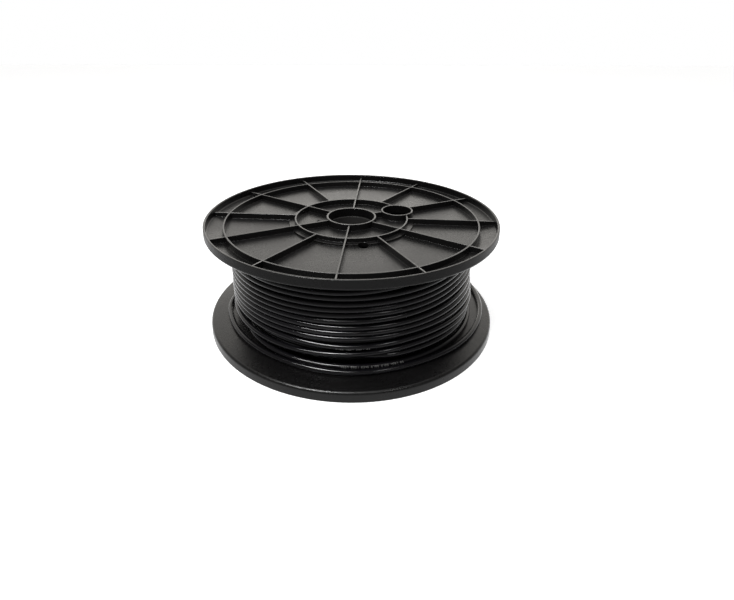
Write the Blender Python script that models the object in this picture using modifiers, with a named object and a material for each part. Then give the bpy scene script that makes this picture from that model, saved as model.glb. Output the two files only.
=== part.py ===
"""Wire spool: two ribbed plastic flanges on a barrel and an arbor tube, wound with insulated wire.

Units are metres. The spool stands on its lower flange: +Z runs up the arbor and the origin is the
centre of the face it stands on. Heights inside a flange are depths below the lip of its rim.
"""
import math

import bmesh
import bpy
from mathutils import Matrix, Vector

MM = 0.001

# --- Overall sizes -------------------------------------------------------------------------------
FLANGE_DIAMETER = 250 * MM
SPOOL_HEIGHT = 95 * MM
SEAT_GAP = 0.3 * MM           # between neighbouring pieces that touch on the real spool
TURN_STEPS = 48               # flats round each turned piece
WELD_DISTANCE = 0.01 * MM
SMOOTH_ANGLE = math.radians(35)

# --- Flange: rim, web and rings ------------------------------------------------------------------
RIM_WALL = 1.9 * MM
RIM_HEIGHT = 8.4 * MM         # lip down to the corner bead
RIM_CORNER = 1.4 * MM         # rounded corner between the rim and its bead
CORNER_EASE = 0.3             # where its middle point lies, as a share of the corner
BEAD_WIDTH = 1.7 * MM         # narrow flat bead round the inner face
WEB_THICKNESS = 2.0 * MM
RIB_SINK = 3.4 * MM           # rib and ring tops below the lip
RIB_HEIGHT = 4.9 * MM         # rib tops down to the web
OUTER_RING_RADIUS = 109.5 * MM
INNER_RING_RADIUS = 49.2 * MM
RING_WALL = 1.4 * MM
RING_DRAFT = 0.15 * MM        # each ring is this much wider at its root, on both sides
STEP_WIDTH = 4.8 * MM         # low step outside the inner ring
STEP_HEIGHT = 1.5 * MM

# --- Flange: ribs --------------------------------------------------------------------------------
RIB_COUNT = 12
RIB_THICKNESS = 1.4 * MM
RIB_START_ANGLE = math.radians(-5)
RIB_TOP_SETBACK = 0.1 * MM    # ribs end just below the ring tops

# --- Flange: collars and holes -------------------------------------------------------------------
COLLAR_SINK = 2.8 * MM        # collar tops below the lip
BORE_RADIUS = 20.0 * MM
COLLAR_WALL = 1.7 * MM
DRIVE_HOLE_RADIUS = 12.8 * MM
DRIVE_COLLAR_WALL = 1.5 * MM
DRIVE_HOLE_OFFSET = 44.1 * MM
DRIVE_HOLE_ANGLE = math.radians(20.6)
START_HOLE_RADIUS = 4.0 * MM
START_HOLE_OFFSET = 53.8 * MM
START_HOLE_ANGLE = math.radians(-80)
DRIVE_HOLE_STEPS = 28
START_HOLE_STEPS = 16

# --- Barrel and arbor tube -----------------------------------------------------------------------
BARREL_RADIUS = 62.5 * MM
BARREL_WALL = 2.5 * MM
ARBOR_TUBE_BORE = 19.0 * MM
ARBOR_TUBE_WALL = 2.7 * MM
SPIGOT_WALL = 1.8 * MM
SPIGOT_HEIGHT = 6.0 * MM

# --- Wire ----------------------------------------------------------------------------------------
WIRE_DIAMETER = 4.3 * MM
CONDUCTOR_DIAMETER = 2.4 * MM
CONDUCTOR_SEAT = 6.0 * MM     # how deep the modelled end of the conductor sits
CONDUCTOR_PROUD = 1.0 * MM
WINDING_RADIUS = 104.55 * MM  # over the outside of the outer layer
TURN_PITCH = 4.85 * MM        # outer layer
LAST_PACK_RISE = 5.92 * MM    # the packed turns end this far above the loose one
LOOSE_TURN_ANGLE = math.radians(305)
FIRST_TURN_ANGLE = math.radians(90)
LOOSE_RADIUS_LEFT = 107.2 * MM
LOOSE_RADIUS_RIGHT = 117.3 * MM
LOOSE_DROP_ANGLE = math.radians(100)      # the last turn drops to the flange over this angle
LOOSE_LEFT_ANGLE = math.radians(70)       # and is clear of the turn above after this one
LOOSE_SPREAD_START = math.radians(165)    # between these two it spreads out on the right
LOOSE_SPREAD_END = math.radians(245)
POINTS_PER_TURN = 24
CONDUCTOR_STEPS = 12

# --- Worked out from the sizes above -------------------------------------------------------------
FLANGE_RADIUS = FLANGE_DIAMETER / 2
WEB_DEPTH = RIB_SINK + RIB_HEIGHT
FACE_DEPTH = WEB_DEPTH + WEB_THICKNESS          # inner face of the web
CHANNEL_FLOOR = RIM_HEIGHT - WEB_THICKNESS      # web surface where it meets the rim
SPIGOT_DEPTH = FACE_DEPTH + SPIGOT_HEIGHT
COLLAR_RADIUS = BORE_RADIUS + COLLAR_WALL
DRIVE_COLLAR_RADIUS = DRIVE_HOLE_RADIUS + DRIVE_COLLAR_WALL
ARBOR_TUBE_RADIUS = ARBOR_TUBE_BORE + ARBOR_TUBE_WALL
WIRE_RADIUS = WIRE_DIAMETER / 2
TURN_RADIUS = WINDING_RADIUS - WIRE_RADIUS      # centre line of the outer layer
CHORD_RADIUS = TURN_RADIUS * math.cos(math.pi / POINTS_PER_TURN)    # middle of a straight step
CORE_RADIUS = CHORD_RADIUS - WIRE_RADIUS - SEAT_GAP
LOWER_FACE = FACE_DEPTH
UPPER_FACE = SPOOL_HEIGHT - FACE_DEPTH
FIRST_TURN_HEIGHT = UPPER_FACE - SEAT_GAP - WIRE_RADIUS
LOOSE_TURN_HEIGHT = LOWER_FACE + SEAT_GAP + WIRE_RADIUS
PACK_TURNS = (FIRST_TURN_HEIGHT - LOOSE_TURN_HEIGHT - LAST_PACK_RISE) / TURN_PITCH

BLACK_PLASTIC = ("black_moulded_plastic", (0.022, 0.021, 0.020), 0.48, 0.0)
BARREL_PLASTIC = ("barrel_plastic", (0.030, 0.029, 0.028), 0.55, 0.0)
WIRE_JACKET = ("wire_jacket", (0.006, 0.006, 0.007), 0.22, 0.0)
COPPER = ("copper", (0.72, 0.33, 0.17), 0.35, 1.0)


def clear_scene():
    for obj in list(bpy.data.objects):
        bpy.data.objects.remove(obj, do_unlink=True)


def new_collection(name):
    collection = bpy.data.collections.new(name)
    bpy.context.scene.collection.children.link(collection)
    return collection


def principled(finish):
    name, colour, roughness, metallic = finish
    material = bpy.data.materials.new(name)
    material.use_nodes = True
    shader = material.node_tree.nodes["Principled BSDF"]
    shader.inputs["Base Color"].default_value = (*colour, 1.0)
    shader.inputs["Roughness"].default_value = roughness
    shader.inputs["Metallic"].default_value = metallic
    return material


def add_object(name, data, collection):
    obj = bpy.data.objects.new(name, data)
    collection.objects.link(obj)
    return obj


def turned(name, profile, collection):
    """A closed ring turned about Z from (radius, height) points that run down its outer side."""
    mesh = bpy.data.meshes.new(name)
    corners = [(radius, 0.0, height) for radius, height in profile]
    sides = [(i, (i + 1) % len(corners)) for i in range(len(corners))]
    mesh.from_pydata(corners, sides, [])
    obj = add_object(name, mesh, collection)
    screw = obj.modifiers.new("turn", "SCREW")
    screw.axis = "Z"
    screw.angle = math.tau
    screw.steps = screw.render_steps = TURN_STEPS
    screw.use_merge_vertices = True
    screw.merge_threshold = WELD_DISTANCE
    return obj


def plug(name, radius, low, high, centre, steps, collection):
    """A solid cylinder along Z between two heights."""
    shape = bmesh.new()
    place = Matrix.Translation((centre.x, centre.y, (low + high) / 2))
    bmesh.ops.create_cone(shape, cap_ends=True, segments=steps, radius1=radius, radius2=radius,
                          depth=high - low, matrix=place)
    mesh = bpy.data.meshes.new(name)
    shape.to_mesh(mesh)
    shape.free()
    return add_object(name, mesh, collection)


def boolean(obj, tool, operation):
    step = obj.modifiers.new(tool.name, "BOOLEAN")
    step.operation = operation
    step.object = tool
    tool.hide_render = True
    tool.display_type = "WIRE"


def baked_mesh(obj, name):
    """The object's shape with its modifiers applied, as a mesh of its own."""
    graph = bpy.context.evaluated_depsgraph_get()
    mesh = bpy.data.meshes.new_from_object(obj.evaluated_get(graph))
    mesh.name = name
    return mesh


def soften(mesh, material):
    """Gives a mesh its material and smooth shading that keeps its corners."""
    mesh.materials.clear()
    mesh.materials.append(material)
    mesh.shade_smooth()
    mesh.set_sharp_from_angle(angle=SMOOTH_ANGLE)


def polar(radius, angle, height=0.0):
    return Vector((radius * math.cos(angle), radius * math.sin(angle), height))


# --- Flange --------------------------------------------------------------------------------------
def ring_profile(outer_radius, inner_root, outer_root):
    """The inner root, two top corners and outer root of a moulded ring, inside to outside."""
    inner_radius = outer_radius - RING_WALL
    return [
        (inner_radius - RING_DRAFT, -inner_root),
        (inner_radius, -RIB_SINK),
        (outer_radius, -RIB_SINK),
        (outer_radius + RING_DRAFT, -outer_root),
    ]


def spigot_profile(outer_radius):
    """A locating ring that stands out of the inner face, outside to inside."""
    inner_radius = outer_radius - SPIGOT_WALL
    return [
        (outer_radius, -FACE_DEPTH),
        (outer_radius, -SPIGOT_DEPTH),
        (inner_radius, -SPIGOT_DEPTH),
        (inner_radius, -FACE_DEPTH),
    ]


def flange_profile():
    step_top = WEB_DEPTH - STEP_HEIGHT
    step_radius = INNER_RING_RADIUS + STEP_WIDTH
    bead_radius = FLANGE_RADIUS - RIM_CORNER
    rim_inside = FLANGE_RADIUS - RIM_WALL
    barrel_spigot = BARREL_RADIUS - BARREL_WALL - SEAT_GAP
    arbor_spigot = ARBOR_TUBE_RADIUS + SEAT_GAP + SPIGOT_WALL
    outside = [
        (BORE_RADIUS, -COLLAR_SINK),
        (COLLAR_RADIUS, -COLLAR_SINK),
        (COLLAR_RADIUS + RING_DRAFT, -WEB_DEPTH),
        *ring_profile(INNER_RING_RADIUS, WEB_DEPTH, step_top),
        (step_radius, -step_top),
        (step_radius + RING_DRAFT, -WEB_DEPTH),
        *ring_profile(OUTER_RING_RADIUS, WEB_DEPTH, WEB_DEPTH),
        (rim_inside - RING_DRAFT, -CHANNEL_FLOOR),
        (rim_inside, 0.0),
    ]
    edge = [
        (FLANGE_RADIUS, 0.0),
        (FLANGE_RADIUS, -(RIM_HEIGHT - RIM_CORNER)),
        (FLANGE_RADIUS - CORNER_EASE * RIM_CORNER, -(RIM_HEIGHT - CORNER_EASE * RIM_CORNER)),
        (bead_radius, -RIM_HEIGHT),
        (bead_radius - BEAD_WIDTH, -RIM_HEIGHT),
    ]
    inside = [
        (OUTER_RING_RADIUS, -FACE_DEPTH),
        *spigot_profile(barrel_spigot),
        *spigot_profile(arbor_spigot),
        (BORE_RADIUS, -FACE_DEPTH),
    ]
    return outside + edge + inside


def rib_mesh(inner_radii):
    """The radial ribs as separate plates, from each inner radius to the middle of the rim's wall."""
    shape = bmesh.new()
    outer_radius = FLANGE_RADIUS - RIM_WALL / 2
    top = -(RIB_SINK + RIB_TOP_SETBACK)
    root = -(WEB_DEPTH + WEB_THICKNESS / 2)
    rim_root = -(CHANNEL_FLOOR + WEB_THICKNESS / 2)
    for number in range(RIB_COUNT):
        inner_radius = inner_radii[number % len(inner_radii)]
        # The root stays inside the web, which rises from the outer ring to the rim.
        side = [
            (inner_radius, top),
            (inner_radius, root),
            (OUTER_RING_RADIUS, root),
            (outer_radius, rim_root),
            (outer_radius, top),
        ]
        turn = Matrix.Rotation(RIB_START_ANGLE + number * math.tau / RIB_COUNT, 3, "Z")
        left, right = (
            [shape.verts.new(turn @ Vector((radius, y, height))) for radius, height in side]
            for y in (RIB_THICKNESS / 2, -RIB_THICKNESS / 2)
        )
        shape.faces.new(left)
        shape.faces.new(right)
        for i in range(len(side)):
            shape.faces.new((left[i - 1], left[i], right[i], right[i - 1]))
    bmesh.ops.recalc_face_normals(shape, faces=shape.faces)
    mesh = bpy.data.meshes.new("ribs")
    shape.to_mesh(mesh)
    shape.free()
    return mesh


def flange_mesh(cutters, material):
    body = turned("flange_body", flange_profile(), cutters)
    collar_middle = BORE_RADIUS + COLLAR_WALL / 2
    ring_middle = INNER_RING_RADIUS - RING_WALL / 2
    ribs = add_object("ribs", rib_mesh([ring_middle, collar_middle]), cutters)
    drive_centre = polar(DRIVE_HOLE_OFFSET, DRIVE_HOLE_ANGLE)
    start_centre = polar(START_HOLE_OFFSET, START_HOLE_ANGLE)
    web_middle = -(WEB_DEPTH + WEB_THICKNESS / 2)
    drive_collar = plug("drive_collar", DRIVE_COLLAR_RADIUS, web_middle, -COLLAR_SINK, drive_centre,
                        DRIVE_HOLE_STEPS, cutters)
    drive_hole = plug("drive_hole", DRIVE_HOLE_RADIUS, -SPIGOT_DEPTH, RIM_HEIGHT, drive_centre,
                      DRIVE_HOLE_STEPS, cutters)
    start_hole = plug("start_hole", START_HOLE_RADIUS, -SPIGOT_DEPTH, RIM_HEIGHT, start_centre,
                      START_HOLE_STEPS, cutters)
    boolean(body, ribs, "UNION")
    boolean(body, drive_collar, "UNION")
    boolean(body, drive_hole, "DIFFERENCE")
    boolean(body, start_hole, "DIFFERENCE")
    bpy.context.view_layer.update()
    mesh = baked_mesh(body, "flange")
    bpy.data.objects.remove(body)
    soften(mesh, material)
    return mesh


# --- Barrel, arbor tube and inner layers ----------------------------------------------------------
def tube_profile(outer_radius, inner_radius):
    """A plain tube that fills the space between the flanges' inner faces."""
    low = LOWER_FACE + SEAT_GAP
    high = UPPER_FACE - SEAT_GAP
    return [(inner_radius, high), (outer_radius, high), (outer_radius, low), (inner_radius, low)]


def add_tube(name, outer_radius, inner_radius, material, parts, cutters):
    turning = turned("turning", tube_profile(outer_radius, inner_radius), cutters)
    bpy.context.view_layer.update()
    mesh = baked_mesh(turning, name)
    bpy.data.objects.remove(turning)
    soften(mesh, material)
    add_object(name, mesh, parts)


# --- Wire ----------------------------------------------------------------------------------------
def ease(value, start, end):
    """0 before start, 1 after end, with a smooth rise between."""
    share = min(1.0, max(0.0, (value - start) / (end - start)))
    return share * share * (3 - 2 * share)


def wire_point(turned_by):
    """The wire's centre after it has turned by an angle from the top of the outer layer."""
    loose_by = turned_by - math.tau * PACK_TURNS
    height = FIRST_TURN_HEIGHT - TURN_PITCH * min(turned_by / math.tau, PACK_TURNS)
    drop = ease(loose_by, 0.0, LOOSE_DROP_ANGLE)
    height += (LOOSE_TURN_HEIGHT - height) * drop
    radius = TURN_RADIUS
    radius += (LOOSE_RADIUS_LEFT - TURN_RADIUS) * ease(loose_by, 0.0, LOOSE_LEFT_ANGLE)
    spread = ease(loose_by, LOOSE_SPREAD_START, LOOSE_SPREAD_END)
    radius += (LOOSE_RADIUS_RIGHT - LOOSE_RADIUS_LEFT) * spread
    return polar(radius, FIRST_TURN_ANGLE + turned_by, height)


def wire_path():
    """Points along the outer layer and the loose last turn, with straight ends."""
    whole = math.tau * PACK_TURNS + LOOSE_TURN_ANGLE
    count = round(POINTS_PER_TURN * whole / math.tau)
    points = [wire_point(whole * i / count) for i in range(count + 1)]
    first_way = (points[0] - points[1]).normalized()
    last_way = (points[-1] - points[-2]).normalized()
    return [points[0] + first_way * WIRE_DIAMETER, *points, points[-1] + last_way * WIRE_DIAMETER]


def least_gap(points):
    """The least clear distance between parts of the wire that lie half a turn or more apart."""
    skip = POINTS_PER_TURN // 2
    nearest = math.inf
    for i, here in enumerate(points):
        for start, end in zip(points[i + skip:], points[i + skip + 1:]):
            along = end - start
            share = min(1.0, max(0.0, (here - start).dot(along) / along.length_squared))
            nearest = min(nearest, (here - start - along * share).length)
    return nearest - WIRE_DIAMETER


def add_wire(points, parts, cutters, jacket, copper):
    curve = bpy.data.curves.new("wire_outer_layer", "CURVE")
    curve.dimensions = "3D"
    curve.twist_mode = "Z_UP"
    curve.bevel_depth = WIRE_RADIUS
    curve.bevel_resolution = 1
    curve.use_fill_caps = True
    line = curve.splines.new("POLY")
    line.points.add(len(points) - 1)
    for spot, place in zip(line.points, points):
        spot.co = (*place, 1.0)
    route = add_object("wire_route", curve, cutters)
    bpy.context.view_layer.update()
    mesh = baked_mesh(route, "wire_outer_layer")
    bpy.data.objects.remove(route)
    bpy.data.curves.remove(curve)
    shape = bmesh.new()
    shape.from_mesh(mesh)
    bmesh.ops.remove_doubles(shape, verts=shape.verts, dist=WELD_DISTANCE)
    shape.to_mesh(mesh)
    shape.free()
    soften(mesh, jacket)
    wire = add_object("wire_outer_layer", mesh, parts)
    add_conductor(wire, points, parts, cutters, copper)


def add_conductor(wire, points, parts, cutters, copper):
    """The copper at the wire's free end, in a blind hole that stands for the insulation's bore."""
    way = (points[-1] - points[-2]).normalized()
    turn = way.to_track_quat("Z", "Y").to_matrix().to_4x4()

    def rod(name, radius, start, end, collection):
        shape = bmesh.new()
        place = Matrix.Translation(points[-1] + way * (start + end) / 2) @ turn
        bmesh.ops.create_cone(shape, cap_ends=True, segments=CONDUCTOR_STEPS, radius1=radius,
                              radius2=radius, depth=end - start, matrix=place)
        rod_mesh = bpy.data.meshes.new(name)
        shape.to_mesh(rod_mesh)
        shape.free()
        return add_object(name, rod_mesh, collection)

    hole_radius = CONDUCTOR_DIAMETER / 2 + SEAT_GAP
    hole = rod("conductor_hole", hole_radius, -CONDUCTOR_SEAT - SEAT_GAP, WIRE_DIAMETER, cutters)
    boolean(wire, hole, "DIFFERENCE")
    end = rod("wire_conductor", CONDUCTOR_DIAMETER / 2, -CONDUCTOR_SEAT, CONDUCTOR_PROUD, parts)
    soften(end.data, copper)


def main():
    clear_scene()
    parts = new_collection("wire_spool")
    cutters = new_collection("cutters")
    plastic = principled(BLACK_PLASTIC)
    barrel_plastic = principled(BARREL_PLASTIC)
    jacket = principled(WIRE_JACKET)
    copper = principled(COPPER)

    flange = flange_mesh(cutters, plastic)
    upper = add_object("upper_flange", flange, parts)
    upper.location.z = SPOOL_HEIGHT
    # The same moulding turned over about its drive hole, so the two drive holes line up.
    lower = add_object("lower_flange", flange, parts)
    lower.rotation_euler = (math.pi, 0.0, 2 * DRIVE_HOLE_ANGLE)

    barrel_bore = BARREL_RADIUS - BARREL_WALL
    add_tube("barrel", BARREL_RADIUS, barrel_bore, barrel_plastic, parts, cutters)
    add_tube("arbor_tube", ARBOR_TUBE_RADIUS, ARBOR_TUBE_BORE, barrel_plastic, parts, cutters)
    add_tube("wire_inner_layers", CORE_RADIUS, BARREL_RADIUS + SEAT_GAP, jacket, parts, cutters)

    points = wire_path()
    add_wire(points, parts, cutters, jacket, copper)
    print(f"wire outer layer: least gap to itself {least_gap(points) / MM:.2f} mm")


main()
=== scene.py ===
"""Wire spool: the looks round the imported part. Two ribbed flanges, barrel and wound wire.

Lengths are metres in the row frame: +Z runs up the bore, -Y is the front of the photograph.
Heights inside a flange are depths below the lip of its rim.
"""

import math

import bmesh
import bpy
from mathutils import Matrix, Vector
from mathutils.noise import noise


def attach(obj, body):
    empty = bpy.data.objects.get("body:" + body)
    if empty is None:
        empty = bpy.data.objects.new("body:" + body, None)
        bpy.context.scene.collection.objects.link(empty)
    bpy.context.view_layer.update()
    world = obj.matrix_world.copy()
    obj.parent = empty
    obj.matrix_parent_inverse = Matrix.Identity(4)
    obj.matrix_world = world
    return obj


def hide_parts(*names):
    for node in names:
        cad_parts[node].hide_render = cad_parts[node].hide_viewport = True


MM = 0.001

# --- The photograph's camera ---------------------------------------------------------------------
PHOTO_WIDTH = 734
PHOTO_HEIGHT = 600
SENSOR_WIDTH = 36.0
CAMERA_PLACE = (0.0, -404.23 * MM, 241.74 * MM)
CAMERA_PITCH = math.radians(18.46)
CAMERA_ROLL = math.radians(0.128)
FOCAL_PIXELS = 492.45
CENTRE_PIXEL = (351.38, 200.0)

# --- Overall sizes, as in the part's source ------------------------------------------------------
SPOOL_HEIGHT = 95 * MM
FLANGE_RADIUS = 125 * MM
RIM_WALL = 1.9 * MM
RIM_HEIGHT = 8.4 * MM
BEAD_INSIDE = 121.9 * MM
WEB_THICKNESS = 2.0 * MM
WEB_DEPTH = 8.3 * MM
FACE_DEPTH = WEB_DEPTH + WEB_THICKNESS
CHANNEL_FLOOR = 6.4 * MM
RIB_SINK = 3.4 * MM
COLLAR_SINK = 2.8 * MM
OUTER_RING_RADIUS = 109.5 * MM
INNER_RING_RADIUS = 49.2 * MM
RING_WALL = 1.4 * MM
DRAFT = 0.15 * MM
STEP_RADIUS = 54.0 * MM
STEP_DEPTH = 6.8 * MM
BORE_RADIUS = 20.0 * MM
COLLAR_RADIUS = 21.7 * MM
DRIVE_HOLE_RADIUS = 12.8 * MM
DRIVE_COLLAR_RADIUS = 14.3 * MM
DRIVE_HOLE_OFFSET = 44.1 * MM
DRIVE_HOLE_ANGLE = math.radians(20.6)
START_HOLE_RADIUS = 4.0 * MM
START_HOLE_OFFSET = 53.8 * MM
START_HOLE_ANGLE = math.radians(-80)
RIB_COUNT = 12
RIB_START_ANGLE = math.radians(-5)
BARREL_RADIUS = 62.5 * MM
BARREL_WALL = 2.5 * MM
ARBOR_TUBE_BORE = 19.0 * MM
ARBOR_TUBE_RADIUS = 21.7 * MM
SEAT_GAP = 0.3 * MM
SPIGOT_WALL = 1.8 * MM
SPIGOT_DEPTH = FACE_DEPTH + 6.0 * MM

# --- Finer shape of the mouldings ----------------------------------------------------------------
TURN_STEPS = 180
ARC_STEPS = 4
ARC_SHARE = 0.48              # the most of a side that the arc at a corner may take
STRAIGHT = math.radians(89)   # half the angle of a corner that is as good as straight
EDGE_ROUND = 0.3 * MM
ROOT_FILLET = 0.2 * MM
STEP_FILLET = 0.15 * MM
COLLAR_EDGE = 0.4 * MM
COLLAR_FILLET = 0.25 * MM
CHANNEL_FILLET = 0.9 * MM
LIP_INSIDE = 0.85 * MM
LIP_OUTSIDE = 0.55 * MM
BEAD_ROUND = 2.5 * MM
BEAD_STEPS = 7
SMOOTH_ANGLE = math.radians(32)
DRIVE_HOLE_STEPS = 72
START_HOLE_STEPS = 36
COLLAR_SPARE = 0.6 * MM       # what the drive collar has inside before its hole is cut
JOIN_DEPTH = 1.0 * MM         # how far a shape that is joined to the web reaches into it
# The rounded edge of a hole: how much wider it is, and its height from the top.
HOLE_EDGE = [(0.0, -0.35 * MM), (0.06 * MM, -0.16 * MM), (0.18 * MM, -0.05 * MM),
             (0.40 * MM, 0.02 * MM)]
GATE_OFFSET = 29.0 * MM
GATE_ANGLE = math.radians(176)
# The gate mark's side: radius and height above the web.
GATE_SIDE = [(1.9 * MM, -0.6 * MM), (1.9 * MM, 0.12 * MM), (1.6 * MM, 0.32 * MM), (0.8 * MM, 0.36 * MM),
             (0.7 * MM, 0.75 * MM), (0.45 * MM, 0.85 * MM)]
GATE_STEPS = 20

# --- Wire ----------------------------------------------------------------------------------------
WIRE_DIAMETER = 4.16 * MM
WIRE_RADIUS = WIRE_DIAMETER / 2
PACK_RADIUS = 102.4 * MM      # centre line of the outer layer
CORE_RADIUS = 91.7 * MM       # the layers that stay hidden, as one body
OUTER_SIDES = 20
INNER_SIDES = 12

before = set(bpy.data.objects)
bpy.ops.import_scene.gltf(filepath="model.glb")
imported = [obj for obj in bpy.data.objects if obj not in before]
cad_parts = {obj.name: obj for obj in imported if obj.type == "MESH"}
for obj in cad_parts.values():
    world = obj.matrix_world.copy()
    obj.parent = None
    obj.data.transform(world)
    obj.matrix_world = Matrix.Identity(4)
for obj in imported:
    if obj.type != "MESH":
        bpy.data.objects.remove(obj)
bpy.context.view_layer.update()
scene = bpy.context.scene


def polar(radius, angle, height=0.0):
    return Vector((radius * math.cos(angle), radius * math.sin(angle), height))


# --- Camera --------------------------------------------------------------------------------------
def add_camera():
    data = bpy.data.cameras.new("photo_camera")
    data.sensor_width = SENSOR_WIDTH
    data.lens = FOCAL_PIXELS * SENSOR_WIDTH / PHOTO_WIDTH
    data.shift_x = (PHOTO_WIDTH / 2 - CENTRE_PIXEL[0]) / PHOTO_WIDTH
    data.shift_y = (CENTRE_PIXEL[1] - PHOTO_HEIGHT / 2) / PHOTO_WIDTH
    data.clip_start = 0.01
    data.clip_end = 20
    camera = bpy.data.objects.new("photo_camera", data)
    scene.collection.objects.link(camera)
    turn = Matrix.Rotation(math.pi / 2 - CAMERA_PITCH, 4, "X") @ Matrix.Rotation(CAMERA_ROLL, 4, "Z")
    camera.matrix_world = Matrix.Translation(CAMERA_PLACE) @ turn
    scene.camera = camera


add_camera()


# --- Materials -----------------------------------------------------------------------------------
class Finish:
    """A procedural material, with short ways to add and join its nodes."""

    def __init__(self, name, colour, roughness, metallic=0.0):
        self.material = bpy.data.materials.new(name)
        self.material.use_nodes = True
        self.tree = self.material.node_tree
        self.shader = self.tree.nodes["Principled BSDF"]
        self.shader.inputs["Base Color"].default_value = (*colour, 1.0)
        self.shader.inputs["Roughness"].default_value = roughness
        self.shader.inputs["Metallic"].default_value = metallic
        self.coordinates = self.tree.nodes.new("ShaderNodeTexCoord")

    def node(self, kind, **inputs):
        """A node with some inputs set; an underscore in a name stands for a space."""
        node = self.tree.nodes.new(kind)
        for name, value in inputs.items():
            node.inputs[name.replace("_", " ")].default_value = value
        return node

    def join(self, output, target):
        self.tree.links.new(output, target)

    def grain(self, scale, detail=2.0, source="Object", stretch=(1.0, 1.0, 1.0)):
        """Noise of so many cells to a metre, over the object's or the piece's own coordinates."""
        place = self.node("ShaderNodeMapping", Scale=stretch)
        self.join(self.coordinates.outputs[source], place.inputs["Vector"])
        pattern = self.node("ShaderNodeTexNoise", Scale=scale, Detail=detail)
        self.join(place.outputs["Vector"], pattern.inputs["Vector"])
        return pattern.outputs["Fac"]

    def spread(self, value, low, high, start=0.3, end=0.7):
        """A value between start and end, spread over the range from low to high."""
        spread = self.node("ShaderNodeMapRange", From_Min=start, From_Max=end, To_Min=low, To_Max=high)
        self.join(value, spread.inputs["Value"])
        return spread.outputs["Result"]

    def math(self, operation, first, second=0.0):
        node = self.node("ShaderNodeMath")
        node.operation = operation
        for socket, value in zip(node.inputs, (first, second)):
            if isinstance(value, float):
                socket.default_value = value
            else:
                self.join(value, socket)
        return node.outputs[0]

    def length(self, vector):
        node = self.node("ShaderNodeVectorMath")
        node.operation = "LENGTH"
        self.join(vector, node.inputs[0])
        return node.outputs["Value"]

    def parts(self, vector):
        """The X, Y and Z of a vector."""
        node = self.node("ShaderNodeSeparateXYZ")
        self.join(vector, node.inputs[0])
        return node.outputs

    def mix_by(self, share, plain, other):
        """One colour, going over to the other as the share goes from 0 to 1."""
        mix = self.node("ShaderNodeMix")
        mix.data_type = "RGBA"
        mix.inputs[6].default_value = (*plain, 1.0)
        mix.inputs[7].default_value = (*other, 1.0)
        self.join(share, mix.inputs[0])
        return mix.outputs[2]

    def bump(self, *layers):
        """Bumps on top of each other, each one a height pattern and its depth in metres."""
        below = None
        for pattern, depth in layers:
            bump = self.node("ShaderNodeBump", Strength=1.0, Distance=depth)
            self.join(pattern, bump.inputs["Height"])
            if below is not None:
                self.join(below, bump.inputs["Normal"])
            below = bump.outputs["Normal"]
        self.join(below, self.shader.inputs["Normal"])


# Painted highlight: a pale colour mixed into the upward-facing tops near the lip, strongest at the rib
# ends.
PAINTED_HIGHLIGHT_COLOUR = (0.150, 0.147, 0.140)
PAINTED_HIGHLIGHT_FROM = 3.9 * MM        # depth below the lip down to which the tops get the painted highlight
PAINTED_HIGHLIGHT_FADE = 0.2 * MM
LEVEL_RANGE = (0.55, 0.95)    # upright part of the surface's direction, from no painted highlight to full
RIB_END_RANGE = (109.8 * MM, 110.8 * MM)
RIB_MIDDLE_SHARE = 0.34       # the ribs inside this range get so much less painted highlight
LIP_RANGE = (121.5 * MM, 123.0 * MM)
LIP_SHARE = 0.12


def painted_highlight_tops(finish):
    """How much painted highlight the plastic gets: pale colour on the upward-facing tops of lip, ribs,
    rings and collars, unevenly.
    """
    place = finish.parts(finish.coordinates.outputs["Object"])
    from_middle = finish.math("ABSOLUTE", finish.math("SUBTRACT", place["Z"], SPOOL_HEIGHT / 2))
    highlight_height = SPOOL_HEIGHT / 2 - PAINTED_HIGHLIGHT_FROM
    height = finish.spread(from_middle, 0.0, 1.0, highlight_height, highlight_height + PAINTED_HIGHLIGHT_FADE)
    facing = finish.parts(finish.coordinates.outputs["Normal"])
    level = finish.spread(finish.math("ABSOLUTE", facing["Z"]), 0.0, 1.0, *LEVEL_RANGE)
    flat = finish.node("ShaderNodeCombineXYZ")
    finish.join(place["X"], flat.inputs["X"])
    finish.join(place["Y"], flat.inputs["Y"])
    radius = finish.length(flat.outputs[0])
    share = finish.math("MULTIPLY", height, level)
    for part in (finish.spread(radius, RIB_MIDDLE_SHARE, 1.0, *RIB_END_RANGE),
                 finish.spread(radius, 1.0, LIP_SHARE, *LIP_RANGE),
                 finish.spread(finish.grain(45, 3), 0.5, 1.0)):
        share = finish.math("MULTIPLY", share, part)
    return share


def moulded_plastic(name, colour, roughness):
    """Satin black plastic with the fine grain and slow waviness of a moulding, and a painted highlight
    on its upward-facing tops.
    """
    finish = Finish(name, colour, roughness)
    mottle = finish.grain(520, 3)
    wide = finish.spread(finish.grain(28, 3), roughness - 0.04, roughness + 0.05)
    uneven = finish.math("ADD", wide, finish.spread(mottle, -0.06, 0.06))
    finish.join(uneven, finish.shader.inputs["Roughness"])
    # the pale tops mixed in here are a painted highlight
    highlighted = finish.mix_by(painted_highlight_tops(finish), colour, PAINTED_HIGHLIGHT_COLOUR)
    finish.join(highlighted, finish.shader.inputs["Base Color"])
    finish.bump((finish.grain(60, 1), 0.10 * MM), (mottle, 0.075 * MM))
    return finish.material


def wire_jacket():
    """Glossy black sheathing: smooth, with faint drawn lines and slow waves along the wire."""
    finish = Finish("glossy_black_jacket", (0.0042, 0.0040, 0.0050), 0.13)
    drawn = finish.grain(9, 2, source="UV", stretch=(3.0, 34.0, 1.0))
    finish.join(finish.spread(finish.grain(120, 2), 0.10, 0.16), finish.shader.inputs["Roughness"])
    finish.bump((drawn, 0.015 * MM), (finish.grain(90, 1), 0.04 * MM))
    return finish.material


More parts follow.
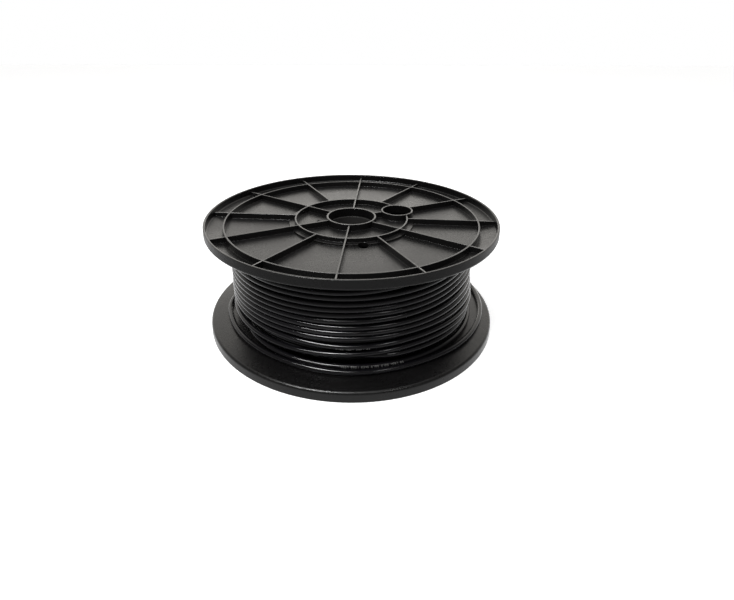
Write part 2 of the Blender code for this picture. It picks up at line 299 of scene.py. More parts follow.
def copper_strands():
    finish = Finish("bright_copper", (0.85, 0.44, 0.27), 0.3, metallic=1.0)
    finish.join(finish.spread(finish.grain(900, 2), 0.22, 0.42), finish.shader.inputs["Roughness"])
    finish.bump((finish.grain(2600, 1), 0.01 * MM))
    return finish.material


def print_ink():
    finish = Finish("pale_print", (0.15, 0.15, 0.145), 0.5)
    finish.join(finish.spread(finish.grain(4000, 1), 0.4, 0.65), finish.shader.inputs["Roughness"])
    return finish.material


PLASTIC = moulded_plastic("black_moulding", (0.0036, 0.0034, 0.0035), 0.31)
BARREL_PLASTIC = moulded_plastic("black_barrel", (0.024, 0.023, 0.022), 0.5)
JACKET = wire_jacket()
COPPER = copper_strands()
INK = print_ink()


# --- Geometry Nodes: ribs set round the axis, and wire along its route ---------------------------
class Tree:
    """A geometry node tree with named inputs."""

    def __init__(self, name, inputs):
        self.tree = bpy.data.node_groups.new(name, "GeometryNodeTree")
        interface = self.tree.interface
        interface.new_socket("Geometry", in_out="INPUT", socket_type="NodeSocketGeometry")
        for socket, kind in inputs.items():
            interface.new_socket(socket, in_out="INPUT", socket_type="NodeSocket" + kind)
        interface.new_socket("Geometry", in_out="OUTPUT", socket_type="NodeSocketGeometry")
        self.source = self.tree.nodes.new("NodeGroupInput")
        self.output = self.tree.nodes.new("NodeGroupOutput")

    def node(self, kind, settings=None, **joined):
        """A node with its settings, and its inputs joined to outputs or set to values.

        An input is given by its name, or as i0, i1 and so on where several have the same name.
        """
        node = self.tree.nodes.new(kind)
        for key, value in (settings or {}).items():
            setattr(node, key, value)
        for key, value in joined.items():
            numbered = key[0] == "i" and key[1:].isdigit()
            socket = node.inputs[int(key[1:]) if numbered else key]
            if isinstance(value, bpy.types.NodeSocket):
                self.tree.links.new(value, socket)
            else:
                socket.default_value = value
        return node

    def named(self, name):
        return self.source.outputs[name]

    def end(self, geometry):
        """Realize Instances, then Set Material, which every tree ends in."""
        real = self.node("GeometryNodeRealizeInstances", Geometry=geometry)
        painted = self.node("GeometryNodeSetMaterial", Geometry=real.outputs[0],
                            Material=self.named("Material"))
        self.tree.links.new(painted.outputs[0], self.output.inputs[0])
        return self.tree


def set_round_tree():
    """Copies of a rib, turned about the axis at even steps."""
    tree = Tree("set_round", {"Count": "Int", "Start": "Float", "Material": "Material"})
    points = tree.node("GeometryNodePoints", Count=tree.named("Count"))
    index = tree.node("GeometryNodeInputIndex")
    step = tree.node("ShaderNodeMath", {"operation": "DIVIDE"}, i0=math.tau, i1=tree.named("Count"))
    angle = tree.node("ShaderNodeMath", {"operation": "MULTIPLY_ADD"}, i0=index.outputs[0],
                      i1=step.outputs[0], i2=tree.named("Start"))
    turn = tree.node("ShaderNodeCombineXYZ", Z=angle.outputs[0])
    copies = tree.node("GeometryNodeInstanceOnPoints", Points=points.outputs[0],
                       Instance=tree.named("Geometry"), Rotation=turn.outputs[0])
    return tree.end(copies.outputs[0])


def wire_tree():
    """A round wire along the route, with its length and turn kept as a UV map."""
    tree = Tree("wire_along", {"Radius": "Float", "Sides": "Int", "Material": "Material"})
    length = tree.node("GeometryNodeSplineParameter")
    route = tree.node("GeometryNodeCaptureAttribute", {"domain": "POINT"},
                      Geometry=tree.named("Geometry"))
    route.capture_items.new("FLOAT", "Along")
    tree.tree.links.new(length.outputs["Length"], route.inputs["Along"])
    circle = tree.node("GeometryNodeCurvePrimitiveCircle", Resolution=tree.named("Sides"),
                       Radius=tree.named("Radius"))
    around = tree.node("GeometryNodeSplineParameter")
    section = tree.node("GeometryNodeCaptureAttribute", {"domain": "POINT"}, Geometry=circle.outputs[0])
    section.capture_items.new("FLOAT", "Around")
    tree.tree.links.new(around.outputs["Factor"], section.inputs["Around"])
    tube = tree.node("GeometryNodeCurveToMesh", Curve=route.outputs[0], i1=section.outputs[0])
    tube.inputs["Fill Caps"].default_value = True
    pair = tree.node("ShaderNodeCombineXYZ", X=route.outputs["Along"], Y=section.outputs["Around"])
    mapped = tree.node("GeometryNodeStoreNamedAttribute",
                       {"data_type": "FLOAT2", "domain": "CORNER"}, Geometry=tube.outputs[0],
                       Name="UVMap", Value=pair.outputs[0])
    smooth = tree.node("GeometryNodeSetShadeSmooth", Geometry=mapped.outputs[0])
    return tree.end(smooth.outputs[0])


def grown(obj, tree, **values):
    """The mesh that a tree makes of an object, which is then removed."""
    modifier = obj.modifiers.new(tree.name, "NODES")
    modifier.node_group = tree
    for item in tree.interface.items_tree:
        if item.in_out == "INPUT" and item.name in values:
            modifier[item.identifier] = values[item.name]
    return baked_mesh(obj)


# --- Shapes --------------------------------------------------------------------------------------
def link(name, data):
    obj = bpy.data.objects.new(name, data)
    scene.collection.objects.link(obj)
    return obj


def baked_mesh(obj):
    """The object's shape with its modifiers applied; the object itself is removed."""
    bpy.context.view_layer.update()
    graph = bpy.context.evaluated_depsgraph_get()
    mesh = bpy.data.meshes.new_from_object(obj.evaluated_get(graph))
    bpy.data.objects.remove(obj)
    return mesh


def mesh_from(name, build):
    """A mesh from a function that fills a bmesh, with its faces turned outwards."""
    shape = bmesh.new()
    build(shape)
    bmesh.ops.recalc_face_normals(shape, faces=shape.faces)
    mesh = bpy.data.meshes.new(name)
    shape.to_mesh(mesh)
    shape.free()
    return mesh


def rounded(corners, steps=ARC_STEPS):
    """A closed outline from (radius, height, rounding) corners, with an arc at each rounded one."""
    points = []
    for i, (radius, height, rounding) in enumerate(corners):
        here = Vector((radius, height))
        back = Vector(corners[i - 1][:2]) - here
        on = Vector(corners[(i + 1) % len(corners)][:2]) - here
        half = back.angle(on) / 2
        if rounding == 0 or half > STRAIGHT:
            points.append((radius, height))
            continue
        reach = min(rounding / math.tan(half), ARC_SHARE * min(back.length, on.length))
        curve = reach * math.tan(half)
        centre = here + (back.normalized() + on.normalized()).normalized() * curve / math.sin(half)
        start = here + back.normalized() * reach - centre
        sweep = start.angle_signed(here + on.normalized() * reach - centre)
        for k in range(steps + 1):
            spoke = Matrix.Rotation(-sweep * k / steps, 2) @ start
            points.append(tuple(centre + spoke))
    return points


def turned_faces(shape, profile, steps, centre, first):
    """Rings of points about Z with the faces between them, from the given point of the profile on."""
    rings = [[shape.verts.new(centre + polar(radius, math.tau * k / steps, height))
              for radius, height in profile] for k in range(steps)]
    for k in range(steps):
        for i in range(first, len(profile)):
            shape.faces.new((rings[k - 1][i - 1], rings[k - 1][i], rings[k][i], rings[k][i - 1]))
    return rings


def turned(name, profile, steps=TURN_STEPS, centre=Vector()):
    """A closed profile of (radius, height) points turned about Z."""
    return mesh_from(name, lambda shape: turned_faces(shape, profile, steps, centre, 0))


def turned_plug(name, profile, centre, steps):
    """An open (radius, height) profile turned about Z, closed at both ends."""
    def build(shape):
        rings = turned_faces(shape, profile, steps, centre, 1)
        for end in (0, -1):
            shape.faces.new([ring[end] for ring in rings])
    return mesh_from(name, build)


def bar_faces(shape, rings):
    """Faces along a row of rings of points, closed at both ends."""
    for near, far in zip(rings, rings[1:]):
        for i in range(len(near)):
            shape.faces.new((near[i - 1], near[i], far[i], far[i - 1]))
    shape.faces.new(rings[0])
    shape.faces.new(rings[-1])


def combined(mesh, *steps):
    """The mesh with others joined to it ("UNION") or cut from it ("DIFFERENCE")."""
    body = link("combined", mesh)
    tools = []
    for operation, tool_mesh in steps:
        tool = link("tool", tool_mesh)
        tools.append(tool)
        modifier = body.modifiers.new(operation, "BOOLEAN")
        modifier.operation = operation
        modifier.solver = "EXACT"
        modifier.object = tool
    result = baked_mesh(body)
    for tool in tools:
        bpy.data.objects.remove(tool)
    return result


def evened(mesh, angle=SMOOTH_ANGLE):
    """Smooth shading that keeps sharp corners and leaves flat faces flat."""
    mesh.shade_smooth()
    mesh.set_sharp_from_angle(angle=angle)
    obj = link("evened", mesh)
    weights = obj.modifiers.new("weights", "WEIGHTED_NORMAL")
    weights.keep_sharp = True
    return baked_mesh(obj)


def add_piece(name, mesh, material, slot, *nodes):
    """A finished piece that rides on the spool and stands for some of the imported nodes."""
    mesh.name = name
    mesh.materials.clear()
    mesh.materials.append(material)
    piece = link(name, mesh)
    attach(piece, "root")
    if nodes:
        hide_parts(*nodes)
    return piece


# --- Flange --------------------------------------------------------------------------------------
def ring_corners(outer_radius, inner_root, outer_root):
    inner_radius = outer_radius - RING_WALL
    return [
        (inner_radius - DRAFT, -inner_root, ROOT_FILLET),
        (inner_radius, -RIB_SINK, EDGE_ROUND),
        (outer_radius, -RIB_SINK, EDGE_ROUND),
        (outer_radius + DRAFT, -outer_root, ROOT_FILLET),
    ]


def spigot_corners(outer_radius):
    inner_radius = outer_radius - SPIGOT_WALL
    return [
        (outer_radius, -FACE_DEPTH, 0),
        (outer_radius, -SPIGOT_DEPTH, EDGE_ROUND),
        (inner_radius, -SPIGOT_DEPTH, EDGE_ROUND),
        (inner_radius, -FACE_DEPTH, 0),
    ]


def bead_corners():
    """The rounded edge of the rim on the winding side, as plain points along its arc."""
    corners = []
    for k in range(BEAD_STEPS + 1):
        turn = 0.5 * math.pi * k / BEAD_STEPS
        corners.append((FLANGE_RADIUS - BEAD_ROUND * (1 - math.cos(turn)),
                        -RIM_HEIGHT + BEAD_ROUND * (1 - math.sin(turn)), 0))
    return corners


def flange_outline():
    rim_inside = FLANGE_RADIUS - RIM_WALL
    return rounded([
        (BORE_RADIUS, -COLLAR_SINK, COLLAR_EDGE),
        (COLLAR_RADIUS, -COLLAR_SINK, COLLAR_EDGE),
        (COLLAR_RADIUS + DRAFT, -WEB_DEPTH, COLLAR_FILLET),
        *ring_corners(INNER_RING_RADIUS, WEB_DEPTH, STEP_DEPTH),
        (STEP_RADIUS, -STEP_DEPTH, STEP_FILLET),
        (STEP_RADIUS + DRAFT, -WEB_DEPTH, STEP_FILLET),
        *ring_corners(OUTER_RING_RADIUS, WEB_DEPTH, WEB_DEPTH),
        (rim_inside - DRAFT, -CHANNEL_FLOOR, CHANNEL_FILLET),
        (rim_inside, 0.0, LIP_INSIDE),
        (FLANGE_RADIUS, 0.0, LIP_OUTSIDE),
        *bead_corners(),
        (BEAD_INSIDE, -RIM_HEIGHT, 0),
        (OUTER_RING_RADIUS, -FACE_DEPTH, 0),
        *spigot_corners(BARREL_RADIUS - BARREL_WALL - SEAT_GAP),
        *spigot_corners(ARBOR_TUBE_RADIUS + SEAT_GAP + SPIGOT_WALL),
        (BORE_RADIUS, -FACE_DEPTH, EDGE_ROUND),
    ])


# Half the rib's section: (half width, height), with the lower part measured from the web.
RIB_CROWN = [(0.30 * MM, -3.44 * MM), (0.52 * MM, -3.50 * MM), (0.64 * MM, -3.66 * MM)]
RIB_FOOT = [(0.76 * MM, 0.34 * MM), (0.79 * MM, 0.15 * MM), (0.87 * MM, 0.05 * MM),
            (1.00 * MM, 0.01 * MM), (1.15 * MM, -0.05 * MM), (1.15 * MM, -JOIN_DEPTH)]


def rib(inner_radius):
    """One rib along +X. Its foot follows the web, which rises from the outer ring to the rim."""
    outer_radius = FLANGE_RADIUS - RIM_WALL / 2
    rise = WEB_DEPTH - CHANNEL_FLOOR
    stations = [(inner_radius, 0.0), (OUTER_RING_RADIUS + DRAFT, 0.0), (outer_radius, rise)]

    def build(shape):
        rings = []
        for radius, lift in stations:
            half = RIB_CROWN + [(width, lift - WEB_DEPTH + height) for width, height in RIB_FOOT]
            section = half + [(-width, height) for width, height in reversed(half)]
            rings.append([shape.verts.new((radius, y, z)) for y, z in section])
        bar_faces(shape, rings)
    return mesh_from("rib", build)


def ribs_round(tree, first, inner_radius):
    """Every second rib, starting from the given one."""
    start = RIB_START_ANGLE + first * math.tau / RIB_COUNT
    one = link("rib", rib(inner_radius))
    return grown(one, tree, Count=RIB_COUNT // 2, Start=start, Material=PLASTIC)


def drive_collar(centre):
    inside = DRIVE_HOLE_RADIUS - COLLAR_SPARE
    foot = DRIVE_COLLAR_RADIUS + 0.3 * MM
    return turned("drive_collar", rounded([
        (inside, -COLLAR_SINK, 0),
        (DRIVE_COLLAR_RADIUS, -COLLAR_SINK, COLLAR_EDGE),
        (DRIVE_COLLAR_RADIUS + 0.1 * MM, -WEB_DEPTH + 0.2 * MM, 0.1 * MM),
        (foot, -WEB_DEPTH - 0.1 * MM, 0),
        (foot, -WEB_DEPTH - JOIN_DEPTH, 0),
        (inside, -WEB_DEPTH - JOIN_DEPTH, 0),
    ]), DRIVE_HOLE_STEPS, centre)


def hole_cutter(radius, top, centre, steps):
    """A plug that also rounds the edge of the hole at the given height."""
    edge = [(radius + wider, top + height) for wider, height in HOLE_EDGE]
    profile = [(radius, -SPIGOT_DEPTH - MM), *edge, (edge[-1][0], RIM_HEIGHT)]
    return turned_plug("cutter", profile, centre, steps)


def gate_mark():
    """The low round stub where the plastic was let into the mould."""
    profile = [(radius, -WEB_DEPTH + height) for radius, height in GATE_SIDE]
    return turned_plug("gate_mark", profile, polar(GATE_OFFSET, GATE_ANGLE), GATE_STEPS)


def flange():
    """The flange as moulded, with its lip at height 0 and its ribs facing up."""
    tree = set_round_tree()
    drive_centre = polar(DRIVE_HOLE_OFFSET, DRIVE_HOLE_ANGLE)
    start_centre = polar(START_HOLE_OFFSET, START_HOLE_ANGLE)
    return combined(
        turned("flange", flange_outline()),
        ("UNION", ribs_round(tree, 0, INNER_RING_RADIUS - RING_WALL / 2)),
        ("UNION", ribs_round(tree, 1, (BORE_RADIUS + COLLAR_RADIUS) / 2)),
        ("UNION", drive_collar(drive_centre)),
        ("UNION", gate_mark()),
        ("DIFFERENCE", hole_cutter(DRIVE_HOLE_RADIUS, -COLLAR_SINK, drive_centre, DRIVE_HOLE_STEPS)),
        ("DIFFERENCE", hole_cutter(START_HOLE_RADIUS, -STEP_DEPTH, start_centre, START_HOLE_STEPS)),
    )


def add_flanges():
    upper = flange()
    lower = upper.copy()
    upper.transform(Matrix.Translation((0, 0, SPOOL_HEIGHT)))
    lower.transform(Matrix.Rotation(2 * DRIVE_HOLE_ANGLE, 4, "Z") @ Matrix.Rotation(math.pi, 4, "X"))
    add_piece("upper_moulding", evened(upper), PLASTIC, "moulded_plastic", "upper_flange")
    add_piece("lower_moulding", evened(lower), PLASTIC, "moulded_plastic", "lower_flange")


def add_tubes():
    low, high = FACE_DEPTH + SEAT_GAP, SPOOL_HEIGHT - FACE_DEPTH - SEAT_GAP
    for name, outer, inner, node in (
        ("barrel_wall", BARREL_RADIUS, BARREL_RADIUS - BARREL_WALL, "barrel"),
        ("arbor_sleeve", ARBOR_TUBE_RADIUS, ARBOR_TUBE_BORE, "arbor_tube"),
    ):
        outline = rounded([(inner, high, EDGE_ROUND), (outer, high, EDGE_ROUND),
                           (outer, low, EDGE_ROUND), (inner, low, EDGE_ROUND)])
        add_piece(name, evened(turned(name, outline)), BARREL_PLASTIC, "barrel_plastic", node)


add_flanges()
add_tubes()


# --- Winding -------------------------------------------------------------------------------------
# Heights of the wire's centre in millimetres, one row for each turn from the top: on the left at
# -180 and -150 degrees, at the front at -120, -90 and -60, on the right at -30 and 0.
TURN_ANGLES = (-180, -150, -120, -90, -60, -30, 0)
TURN_HEIGHTS = [
    (76.6, 76.3, 77.2, 77.7, 81.7, 82.2, 82.2),
    (71.9, 71.6, 72.5, 73.4, 77.0, 77.8, 77.9),
    (67.5, 67.2, 68.2, 69.0, 70.9, 73.4, 73.6),
    (62.8, 62.5, 62.9, 64.1, 65.7, 69.0, 69.3),
    (58.5, 58.2, 58.6, 59.9, 61.3, 64.6, 65.0),
    (53.9, 53.6, 54.2, 55.6, 56.9, 60.2, 60.7),
    (49.2, 48.9, 49.8, 50.6, 52.4, 55.8, 56.3),
    (44.6, 44.3, 45.4, 45.5, 46.3, 48.2, 48.8),
    (40.3, 40.1, 40.8, 41.0, 41.6, 42.9, 43.4),
    (36.1, 35.9, 36.2, 36.4, 37.1, 36.6, 36.6),
    (31.4, 31.1, 30.6, 29.3, 30.8, 29.6, 29.8),
    (22.0, 21.8, 21.9, 23.3, 25.1, 24.2, 24.0),
    (26.8, 26.7, 25.4, 20.8, 20.1, 19.2, 19.0),
    (18.9, 18.8, 14.2, 12.8, 12.7, 12.6, 12.6),
]
FIRST_ANGLE = 30.0            # the wire comes out of the inner layers behind, on the right
FIRST_HEIGHT = 82.1
OUT_ANGLE = 92.0              # by here it has come out beside the next turn
OUT_HEIGHT = 81.5
# The radius of the outer layer in millimetres, by turn and angle: the first turn comes out from
# underneath, the upper turns lie a little deeper on the right and the lower ones stand out there,
# and the last two come from under their neighbours at the front and on the left.
PACK_RADII = [
    (0, 30, 96.7), (0, 60, 97.6), (0, 92, 102.3),
    (1, -90, 102.4), (1, 0, 101.2), (1, 150, 102.4),
    (2, -90, 102.4), (2, 0, 101.1), (2, 150, 102.4),
    (3, -90, 102.4), (3, 0, 101.0), (3, 150, 102.4),
    (4, -90, 102.4), (4, 0, 101.0), (4, 150, 102.4),
    (5, -90, 102.4), (5, 0, 101.2), (5, 150, 102.4),
    (6, -90, 102.4), (6, 0, 101.5), (6, 150, 102.4),
    (9, -60, 102.4), (9, -15, 102.9), (9, 90, 102.4),
    (10, -60, 102.4), (10, -15, 103.6), (10, 90, 102.4),
    (11, -60, 102.4), (11, -15, 104.4), (11, 110, 102.7),
    (12, -60, 102.4), (12, -20, 103.2), (12, 15, 98.4), (12, 110, 98.3),
    (13, -150, 99.0), (13, -102, 98.0), (13, -90, 98.8), (13, -82, 99.9), (13, -70, 102.3),
    (13, 60, 102.4),
    (14, -190, 98.6), (14, -150, 98.6), (14, -135, 102.0), (14, -90, 102.5), (14, -60, 103.2),
    (14, -30, 104.8), (14, 20, 104.0),
]
# Where the last turn lies on the flange: angle and radius in millimetres, front at -90.
LOOSE_RADII = [(-300, 102.4), (-215, 102.4), (-186, 106.2), (-172, 108.8), (-162, 107.9),
               (-143, 107.1), (-127, 106.9), (-111, 107.0), (-100, 107.8), (-90, 108.4),
               (-71, 108.1), (-62, 108.4), (-49, 110.2), (-36, 112.2), (-24, 113.7), (-12, 115.6),
               (0, 117.2), (16, 119.0), (40, 118.6), (60, 117.6), (76, 117.0)]
LOOSE_END = 76.0
SETTLE_ANGLE = 120            # how far round the last turn takes to come down on the flange
WOBBLE_OUT = 0.15 * MM        # unevenness of the winding, outwards and upwards
WOBBLE_UP = 0.06 * MM
INNER_RADIUS = 96.7 * MM
INNER_PITCH = 4.7 * MM
INNER_WOBBLE = 0.15 * MM
INNER_GAP = 0.5 * MM          # between the flange's face and the lowest inner turn
SINK_TOP = 33 * MM            # below this the inner layer lies deeper, under the crossing turns
SINK_RUN = 4 * MM
SINK_DEPTH = 2.9 * MM
ROUTE_STEP = 2.5              # degrees between the points of a route


def between(knots, at):
    """A smooth value through (place, value) knots, flat beyond both ends."""
    if at <= knots[0][0]:
        return knots[0][1]
    if at >= knots[-1][0]:
        return knots[-1][1]
    i = next(k for k in range(1, len(knots)) if at <= knots[k][0])

    def slope(k):
        if k in (0, len(knots) - 1):
            return 0.0
        return (knots[k + 1][1] - knots[k - 1][1]) / (knots[k + 1][0] - knots[k - 1][0])

    (x0, y0), (x1, y1) = knots[i - 1], knots[i]
    run = x1 - x0
    t = (at - x0) / run
    a, b = slope(i - 1) * run, slope(i) * run
    return ((2 * t ** 3 - 3 * t ** 2 + 1) * y0 + (t ** 3 - 2 * t ** 2 + t) * a
            + (3 * t ** 2 - 2 * t ** 3) * y1 + (t ** 3 - t ** 2) * b)


def flange_face(radius):
    """Height of the lower flange's inner face, which falls away towards the bead."""
    share = (radius - OUTER_RING_RADIUS) / (BEAD_INSIDE - OUTER_RING_RADIUS)
    return FACE_DEPTH - (FACE_DEPTH - RIM_HEIGHT) * min(1.0, max(0.0, share))


LAST_ANGLE = 360 * (len(TURN_HEIGHTS) + 1)
OUTER_HEIGHTS = [(FIRST_ANGLE, FIRST_HEIGHT), (OUT_ANGLE, OUT_HEIGHT)] + [
    (angle + 360 * turn, height) for turn, row in enumerate(TURN_HEIGHTS, 1)
    for angle, height in zip(TURN_ANGLES, row)]
OUTER_RADII = [(angle + 360 * turn, radius) for turn, angle, radius in PACK_RADII] + [
    (angle + LAST_ANGLE, radius) for angle, radius in LOOSE_RADII]


def outer_layer_centre(at):
    """The wire's centre at an angle that counts on through the turns of the outer layer."""
    radius = between(OUTER_RADII, at) * MM
    radius += WOBBLE_OUT * noise(Vector((at / 75, 3.1, 0)))
    seat = flange_face(radius) + WIRE_RADIUS
    height = between(OUTER_HEIGHTS, at) * MM + WOBBLE_UP * noise(Vector((at / 110, 0, 7.7)))
    past = at - OUTER_HEIGHTS[-1][0]
    if past > 0:
        share = min(1.0, past / SETTLE_ANGLE)
        height += (seat - height) * share * share * (3 - 2 * share)
    return polar(radius, math.radians(at), max(height, seat))


def outer_layer_route():
    """Centres of the wire down the outer layer and round the loose last turn."""
    count = round((LAST_ANGLE + LOOSE_END - FIRST_ANGLE) / ROUTE_STEP)
    return [outer_layer_centre(FIRST_ANGLE + k * ROUTE_STEP) for k in range(count + 1)]


def inner_layer_route():
    """Centres of the wound layer below, which rises to where the outer layer starts."""
    low, high = FACE_DEPTH + INNER_GAP + WIRE_RADIUS, FIRST_HEIGHT * MM
    turns = (high - low) / INNER_PITCH
    count = round(turns * 360 / ROUTE_STEP)
    points = []
    for k in range(count + 1):
        share = k / count
        angle = math.radians(FIRST_ANGLE) - math.tau * turns * (1 - share)
        height = low + (high - low) * share + INNER_WOBBLE * noise(Vector((12 * share, 0.7, 0)))
        height = min(high, max(low, height))
        sunk = min(1.0, max(0.0, (SINK_TOP - height) / SINK_RUN))
        points.append(polar(INNER_RADIUS - SINK_DEPTH * sunk, angle, height))
    return points


def wire(tree, points, sides):
    """A wire of so many sides, with its centre on the points."""
    data = bpy.data.curves.new("route", "CURVE")
    data.dimensions = "3D"
    data.twist_mode = "Z_UP"
    line = data.splines.new("POLY")
    line.points.add(len(points) - 1)
    line.points.foreach_set("co", [value for place in points for value in (*place, 1.0)])
    route = link("route", data)
    return grown(route, tree, Radius=WIRE_RADIUS, Sides=sides, Material=JACKET)


def add_winding():
    """The outer and inner turns of wire. Returns the outer route, whose end carries the strands."""
    tree = wire_tree()
    outer = outer_layer_route()
    add_piece("wire_outer_turns", wire(tree, outer, OUTER_SIDES), JACKET, "wire_jacket",
              "wire_outer_layer")
    inside, low = BARREL_RADIUS + SEAT_GAP, FACE_DEPTH + SEAT_GAP
    high = SPOOL_HEIGHT - FACE_DEPTH - SEAT_GAP
    core = turned("core", rounded([(inside, high, 0), (CORE_RADIUS, high, 0), (CORE_RADIUS, low, 0),
                                   (inside, low, 0)]))
    shape = bmesh.new()
    shape.from_mesh(wire(tree, inner_layer_route(), INNER_SIDES))
    shape.from_mesh(core)
    both = bpy.data.meshes.new("wire_inner_turns")
    shape.to_mesh(both)
    shape.free()
    both.shade_smooth()
    both.set_sharp_from_angle(angle=SMOOTH_ANGLE)
    add_piece("wire_inner_turns", both, JACKET, "wire_jacket", "wire_inner_layers")
    return outer


STRAND_RADIUS = 0.4 * MM
STRAND_FROM = -3.0 * MM       # along the wire, from inside its end to a little outside
STRAND_TO = 1.2 * MM
STRAND_PART = 0.99            # of its radius, so that neighbours don't touch


def add_strands(outer):
    """Seven bright copper strands that stand a little out of the wire's free end."""
    way = (outer[-1] - outer[-2]).normalized()
    along_wire = way.to_track_quat("Z", "Y").to_matrix().to_4x4()

    def build(shape):
        for k in range(7):
            offset = Vector() if k == 0 else polar(2 * STRAND_RADIUS, math.tau * k / 6)
            place = Matrix.Translation(outer[-1]) @ along_wire @ Matrix.Translation(
                offset + Vector((0, 0, (STRAND_FROM + STRAND_TO) / 2)))
            bmesh.ops.create_cone(shape, cap_ends=True, segments=16,
                                  radius1=STRAND_RADIUS * STRAND_PART,
                                  radius2=STRAND_RADIUS * STRAND_PART,
                                  depth=STRAND_TO - STRAND_FROM, matrix=place)
    mesh = mesh_from("strands", build)
    add_piece("copper_strands", evened(mesh), COPPER, "copper", "wire_conductor")


# Plain counting digits printed on the jacket, each made of up to seven short strokes. A stroke runs
# from one corner to another, in digit widths along the wire and half heights round it.
DIGIT_STROKES = {" ": "", "0": "abcdef", "1": "bc", "2": "abdeg", "3": "abcdg", "4": "bcfg",
                 "5": "acdfg", "6": "acdefg", "7": "abc", "8": "abcdefg", "9": "abcdfg"}
DIGIT_WIDTH = 0.75 * MM
DIGIT_HALF = 0.62 * MM
DIGIT_STEP = 1.45 * MM
STROKE_WIDTH = 0.20 * MM
STROKE_LIFT = 0.05 * MM       # the print's upper side above the jacket
STROKE_BENDS = 3
STROKES = {"a": (0, 1, 1, 1), "b": (1, 0, 1, 1), "c": (1, -1, 1, 0), "d": (0, -1, 1, -1),
           "e": (0, -1, 0, 0), "f": (0, 0, 0, 1), "g": (0, 0, 1, 0)}
# Rows of digits: turn, angle where the row starts, how far round the wire it sits, and the digits.
PRINT_ROWS = [(11, -96.0, -28.0, "0123 4567 8901 23"),
              (14, -94.0, 30.0, "4567 8901 2345 6789 0123 4567 89")]


def print_spot(turn, angle, tilt, along, around, lift):
    """A point on the jacket, by its way along the wire and round it from where the row starts."""
    at = angle + 360 * turn + math.degrees(along / PACK_RADIUS)
    rise = math.radians(tilt) + around / WIRE_RADIUS
    out = polar(math.cos(rise), math.radians(at), math.sin(rise))
    return outer_layer_centre(at) + (WIRE_RADIUS + lift) * out


def add_stroke(shape, row, start, stroke):
    """One bar of a digit, bent round the jacket. The digit starts so far along the row."""
    x0, y0, x1, y1 = STROKES[stroke]
    wide, tall = (0, STROKE_WIDTH / 2) if y0 == y1 else (STROKE_WIDTH / 2, 0)
    left = start + x0 * DIGIT_WIDTH - wide
    right = start + x1 * DIGIT_WIDTH + wide
    low, high = y0 * DIGIT_HALF - tall, y1 * DIGIT_HALF + tall
    corners = ((left, -STROKE_LIFT), (right, -STROKE_LIFT), (right, STROKE_LIFT), (left, STROKE_LIFT))
    rings = []
    for k in range(STROKE_BENDS + 1):
        around = low + (high - low) * k / STROKE_BENDS
        rings.append([shape.verts.new(print_spot(*row, along, around, lift)) for along, lift in corners])
    bar_faces(shape, rings)


def add_print():
    def build(shape):
        for *row, digits in PRINT_ROWS:
            for place, digit in enumerate(digits):
                for stroke in DIGIT_STROKES[digit]:
                    add_stroke(shape, row, place * DIGIT_STEP, stroke)
    add_piece("print_marks", mesh_from("print", build), INK, None)


add_strands(add_winding())
add_print()


# --- Floor, backdrop and light -------------------------------------------------------------------
FLOOR_HALF = 4.0
CAMERA_FILL = 0.52            # added where the camera looks, so that the unshaded floor is white
# Strengths at the front and at the back, and the Y between which one goes over to the other. The
# soft one lights the spool; the others are what mirror and glass rays find.
WORLD_SOFT = (0.25, 0.80, -0.4, 0.6)
WORLD_SIDES = (0.12, 1.12, 0.06, 0.74)
WORLD_BACK = (2.60, 0.88, 1.02)               # the same, from the strength of the sides
FLOOR_MIRRORED = (0.30, 0.9, -0.20, 0.25)
NEAR_MIRRORED = (0.60, 2.0, -0.14, 0.04)
NEAR_RANGE = (0.155, 0.205)   # from the axis, where the floor close to the spool goes over to the rest
WORLD_BACK_COLOUR = (1.0, 0.97, 0.92)
WHITE = (1.0, 1.0, 1.0)
FRONT_AIM = (-0.03, -0.1, 0.04)
# Each lamp's name, place, aim, size and radiance.
LAMPS = [
    ("overhead", (0.0, 0.20, 1.3), (0, 0, 0.05), (1.2, 0.8), 1.7),
    ("front_left", (-0.49, -0.63, 1.29), FRONT_AIM, (0.58, 0.17), 47.0),
    ("front_left_edge", (-0.25, -0.76, 1.29), FRONT_AIM, (0.46, 0.17), 12.0),
    ("front_right", (0.565, -0.864, 1.15), (0.03, -0.1, 0.04), (0.22, 0.20), 9.0),
]


def larger(tree, first, second):
    node = tree.nodes.new("ShaderNodeMath")
    node.operation = "MAXIMUM"
    tree.links.new(first, node.inputs[0])
    tree.links.new(second, node.inputs[1])
    return node.outputs[0]


def mixed(tree, share, plain, shown):
    mix = tree.nodes.new("ShaderNodeMixShader")
    for value, socket in zip((share, plain, shown), mix.inputs):
        tree.links.new(value, socket)
    return mix.outputs[0]


def seen_apart(tree, lit, mirrored, seen):
    """One shader for light, another for mirror and glass rays, and a third for the camera."""
    path = tree.nodes.new("ShaderNodeLightPath").outputs
    mirror = larger(tree, path["Is Glossy Ray"], path["Is Transmission Ray"])
    whole = mixed(tree, path["Is Camera Ray"], mixed(tree, mirror, lit, mirrored), seen)
    tree.links.new(whole, tree.get_output_node("ALL").inputs["Surface"])


def front_to_back(tree, vector, front, back, start, end):
    """A strength that rises from the side where the camera stands to the side behind the spool.

    The front strength may also be the output of another such rise.
    """
    split = tree.nodes.new("ShaderNodeSeparateXYZ")
    tree.links.new(vector, split.inputs[0])
    rise = tree.nodes.new("ShaderNodeMapRange")
    rise.interpolation_type = "SMOOTHSTEP"
    for name, value in (("From Min", start), ("From Max", end), ("To Min", front), ("To Max", back)):
        if isinstance(value, float):
            rise.inputs[name].default_value = value
        else:
            tree.links.new(value, rise.inputs[name])
    tree.links.new(split.outputs["Y"], rise.inputs["Value"])
    return rise.outputs["Result"]


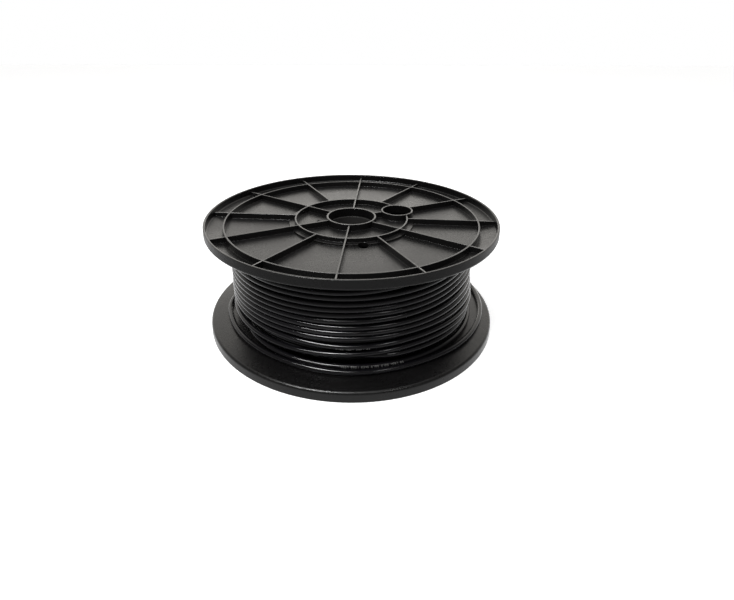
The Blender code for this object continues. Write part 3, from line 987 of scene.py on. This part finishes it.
def add_floor():
    finish = Finish("pale_floor", (0.86, 0.86, 0.86), 0.7)
    finish.join(finish.spread(finish.grain(3, 2), 0.66, 0.74), finish.shader.inputs["Roughness"])
    tree = finish.tree
    lit = finish.shader.outputs[0]
    fill = finish.node("ShaderNodeEmission", Strength=CAMERA_FILL)
    filled = finish.node("ShaderNodeAddShader")
    finish.join(lit, filled.inputs[0])
    finish.join(fill.outputs[0], filled.inputs[1])
    place = finish.coordinates.outputs["Object"]
    near = finish.node("ShaderNodeMapRange", From_Min=NEAR_RANGE[0], From_Max=NEAR_RANGE[1], To_Max=0.0)
    finish.join(finish.length(place), near.inputs["Value"])
    finish.join(front_to_back(tree, place, *NEAR_MIRRORED), near.inputs["To Min"])
    mirrored = finish.node("ShaderNodeEmission")
    finish.join(larger(tree, near.outputs["Result"], front_to_back(tree, place, *FLOOR_MIRRORED)),
                mirrored.inputs["Strength"])
    seen_apart(tree, lit, mirrored.outputs[0], filled.outputs[0])

    def build(shape):
        bmesh.ops.create_grid(shape, x_segments=1, y_segments=1, size=FLOOR_HALF)
    floor = link("floor", mesh_from("floor", build))
    floor.data.materials.append(finish.material)


def add_lamp(name, place, aim, size, radiance):
    data = bpy.data.lights.new(name, "AREA")
    data.shape = "RECTANGLE"
    data.size, data.size_y = size
    data.energy = radiance * math.pi * size[0] * size[1]
    lamp = link(name, data)
    way = Vector(aim) - Vector(place)
    lamp.matrix_world = Matrix.Translation(place) @ way.to_track_quat("-Z", "Y").to_matrix().to_4x4()


def add_world():
    """Soft white light from behind and above; the side where the camera stands is dimmer."""
    world = bpy.data.worlds.new("studio")
    scene.world = world
    world.use_nodes = True
    tree = world.node_tree
    way = tree.nodes.new("ShaderNodeTexCoord").outputs["Generated"]

    def background(strength, colour=WHITE):
        node = tree.nodes.new("ShaderNodeBackground")
        node.inputs["Color"].default_value = (*colour, 1.0)
        if isinstance(strength, float):
            node.inputs["Strength"].default_value = strength
        else:
            tree.links.new(strength, node.inputs["Strength"])
        return node.outputs[0]

    sides = front_to_back(tree, way, *WORLD_SIDES)
    mirrored = background(front_to_back(tree, way, sides, *WORLD_BACK), WORLD_BACK_COLOUR)
    seen_apart(tree, background(front_to_back(tree, way, *WORLD_SOFT)), mirrored, background(1.0))


add_floor()
add_world()
for lamp in LAMPS:
    add_lamp(*lamp)

scene.view_settings.view_transform = "Standard"
